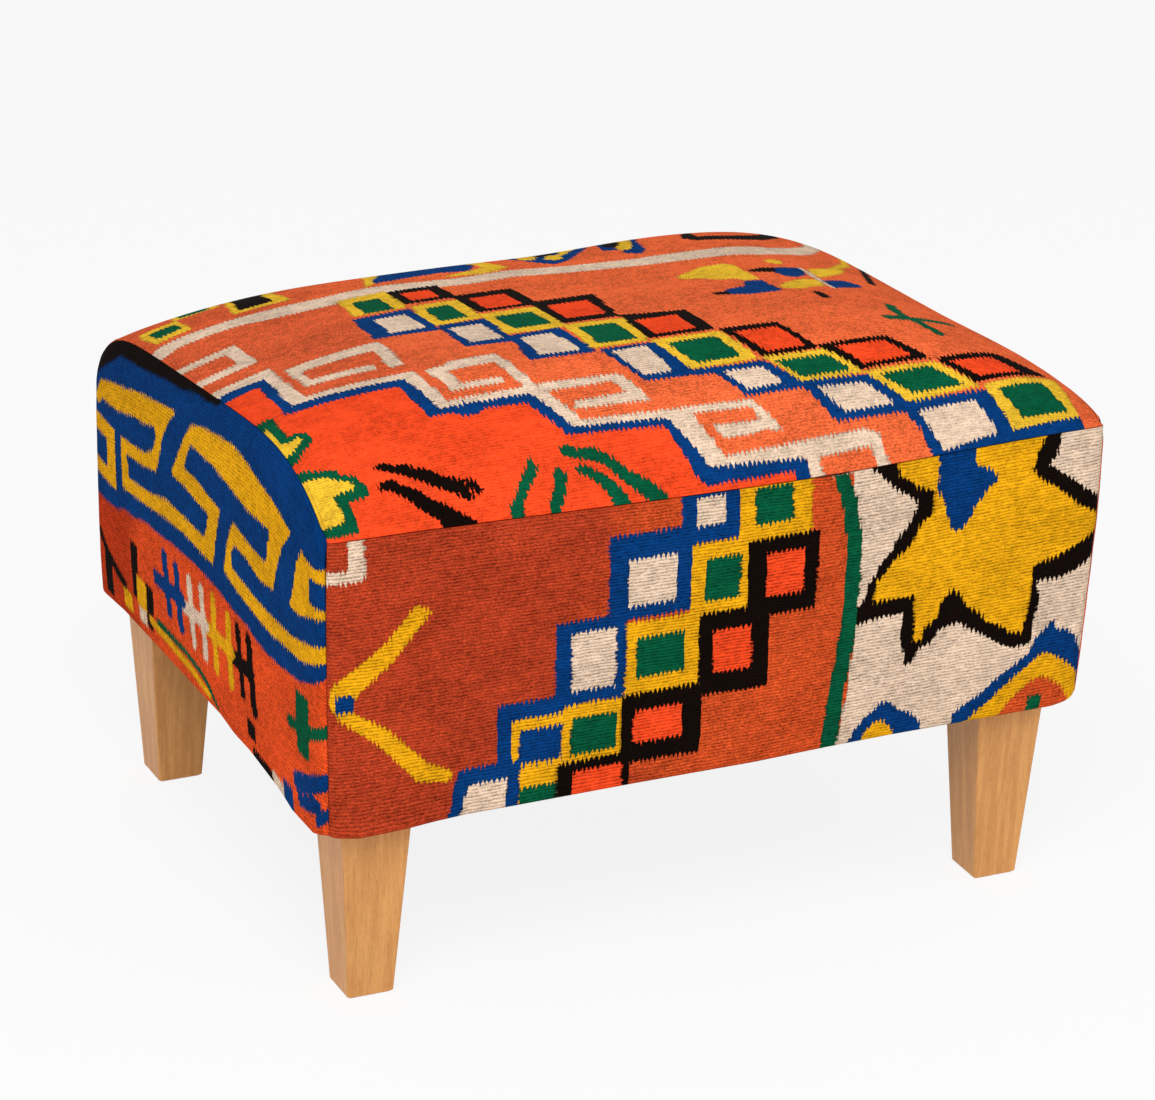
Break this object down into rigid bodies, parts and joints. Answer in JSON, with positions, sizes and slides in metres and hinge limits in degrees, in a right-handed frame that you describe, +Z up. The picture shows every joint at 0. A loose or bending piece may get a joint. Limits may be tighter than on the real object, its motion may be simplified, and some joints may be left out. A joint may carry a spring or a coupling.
{
  "type": "upholstered stool",
  "caption": "Low rectangular stool with a crowned padded top, covered in flat-woven kilim panels, on short square tapered wooden legs screwed in at the corners.",
  "frame": {"origin": "on the floor, under the middle of the seat", "axes": "+X along the seat's long side, -Y towards the pictured long face, +Z up"},
  "size_m": [0.6194, 0.48, 0.4363],
  "materials": {
    "kilim": "flat-woven wool, matt",
    "leg_wood": "clear satin lacquer",
    "frame_wood": "planed, unfinished",
    "foam": "open-cell foam",
    "wadding": "lofted polyester",
    "jute_webbing": "coarse weave",
    "hessian": "open weave",
    "dust_cloth": "non-woven, matt",
    "zinc_steel": "zinc plated",
    "staple_wire": "bright wire"
  },
  "bodies": {
    "root": {"corner_block_back_left": "frame_wood", "corner_block_back_right": "frame_wood", "corner_block_front_left": "frame_wood", "corner_block_front_right": "frame_wood", "corner_block_screws": "zinc_steel", "cover_back": "kilim", "cover_front": "kilim", "cover_left": "kilim", "cover_right": "kilim", "cover_staples": "staple_wire", "cover_top": "kilim", "dust_cover": "dust_cloth", "dust_cover_staples": "staple_wire", "foam_pad": "foam", "hessian": "hessian", "hessian_staples": "staple_wire", "leg_back_left": "leg_wood", "leg_back_right": "leg_wood", "leg_bolt_back_left": "zinc_steel", "leg_bolt_back_right": "zinc_steel", "leg_bolt_front_left": "zinc_steel", "leg_bolt_front_right": "zinc_steel", "leg_front_left": "leg_wood", "leg_front_right": "leg_wood", "leg_nut_back_left": "zinc_steel", "leg_nut_back_right": "zinc_steel", "leg_nut_front_left": "zinc_steel", "leg_nut_front_right": "zinc_steel", "rail_back": "frame_wood", "rail_centre": "frame_wood", "rail_dowels": "frame_wood", "rail_front": "frame_wood", "rail_left": "frame_wood", "rail_right": "frame_wood", "wadding": "wadding", "webbing_crosswise_1": "jute_webbing", "webbing_crosswise_2": "jute_webbing", "webbing_crosswise_3": "jute_webbing", "webbing_crosswise_4": "jute_webbing", "webbing_crosswise_5": "jute_webbing", "webbing_lengthwise_1": "jute_webbing", "webbing_lengthwise_2": "jute_webbing", "webbing_lengthwise_3": "jute_webbing", "webbing_lengthwise_4": "jute_webbing", "webbing_staples": "staple_wire"}
  },
  "joints": []
}
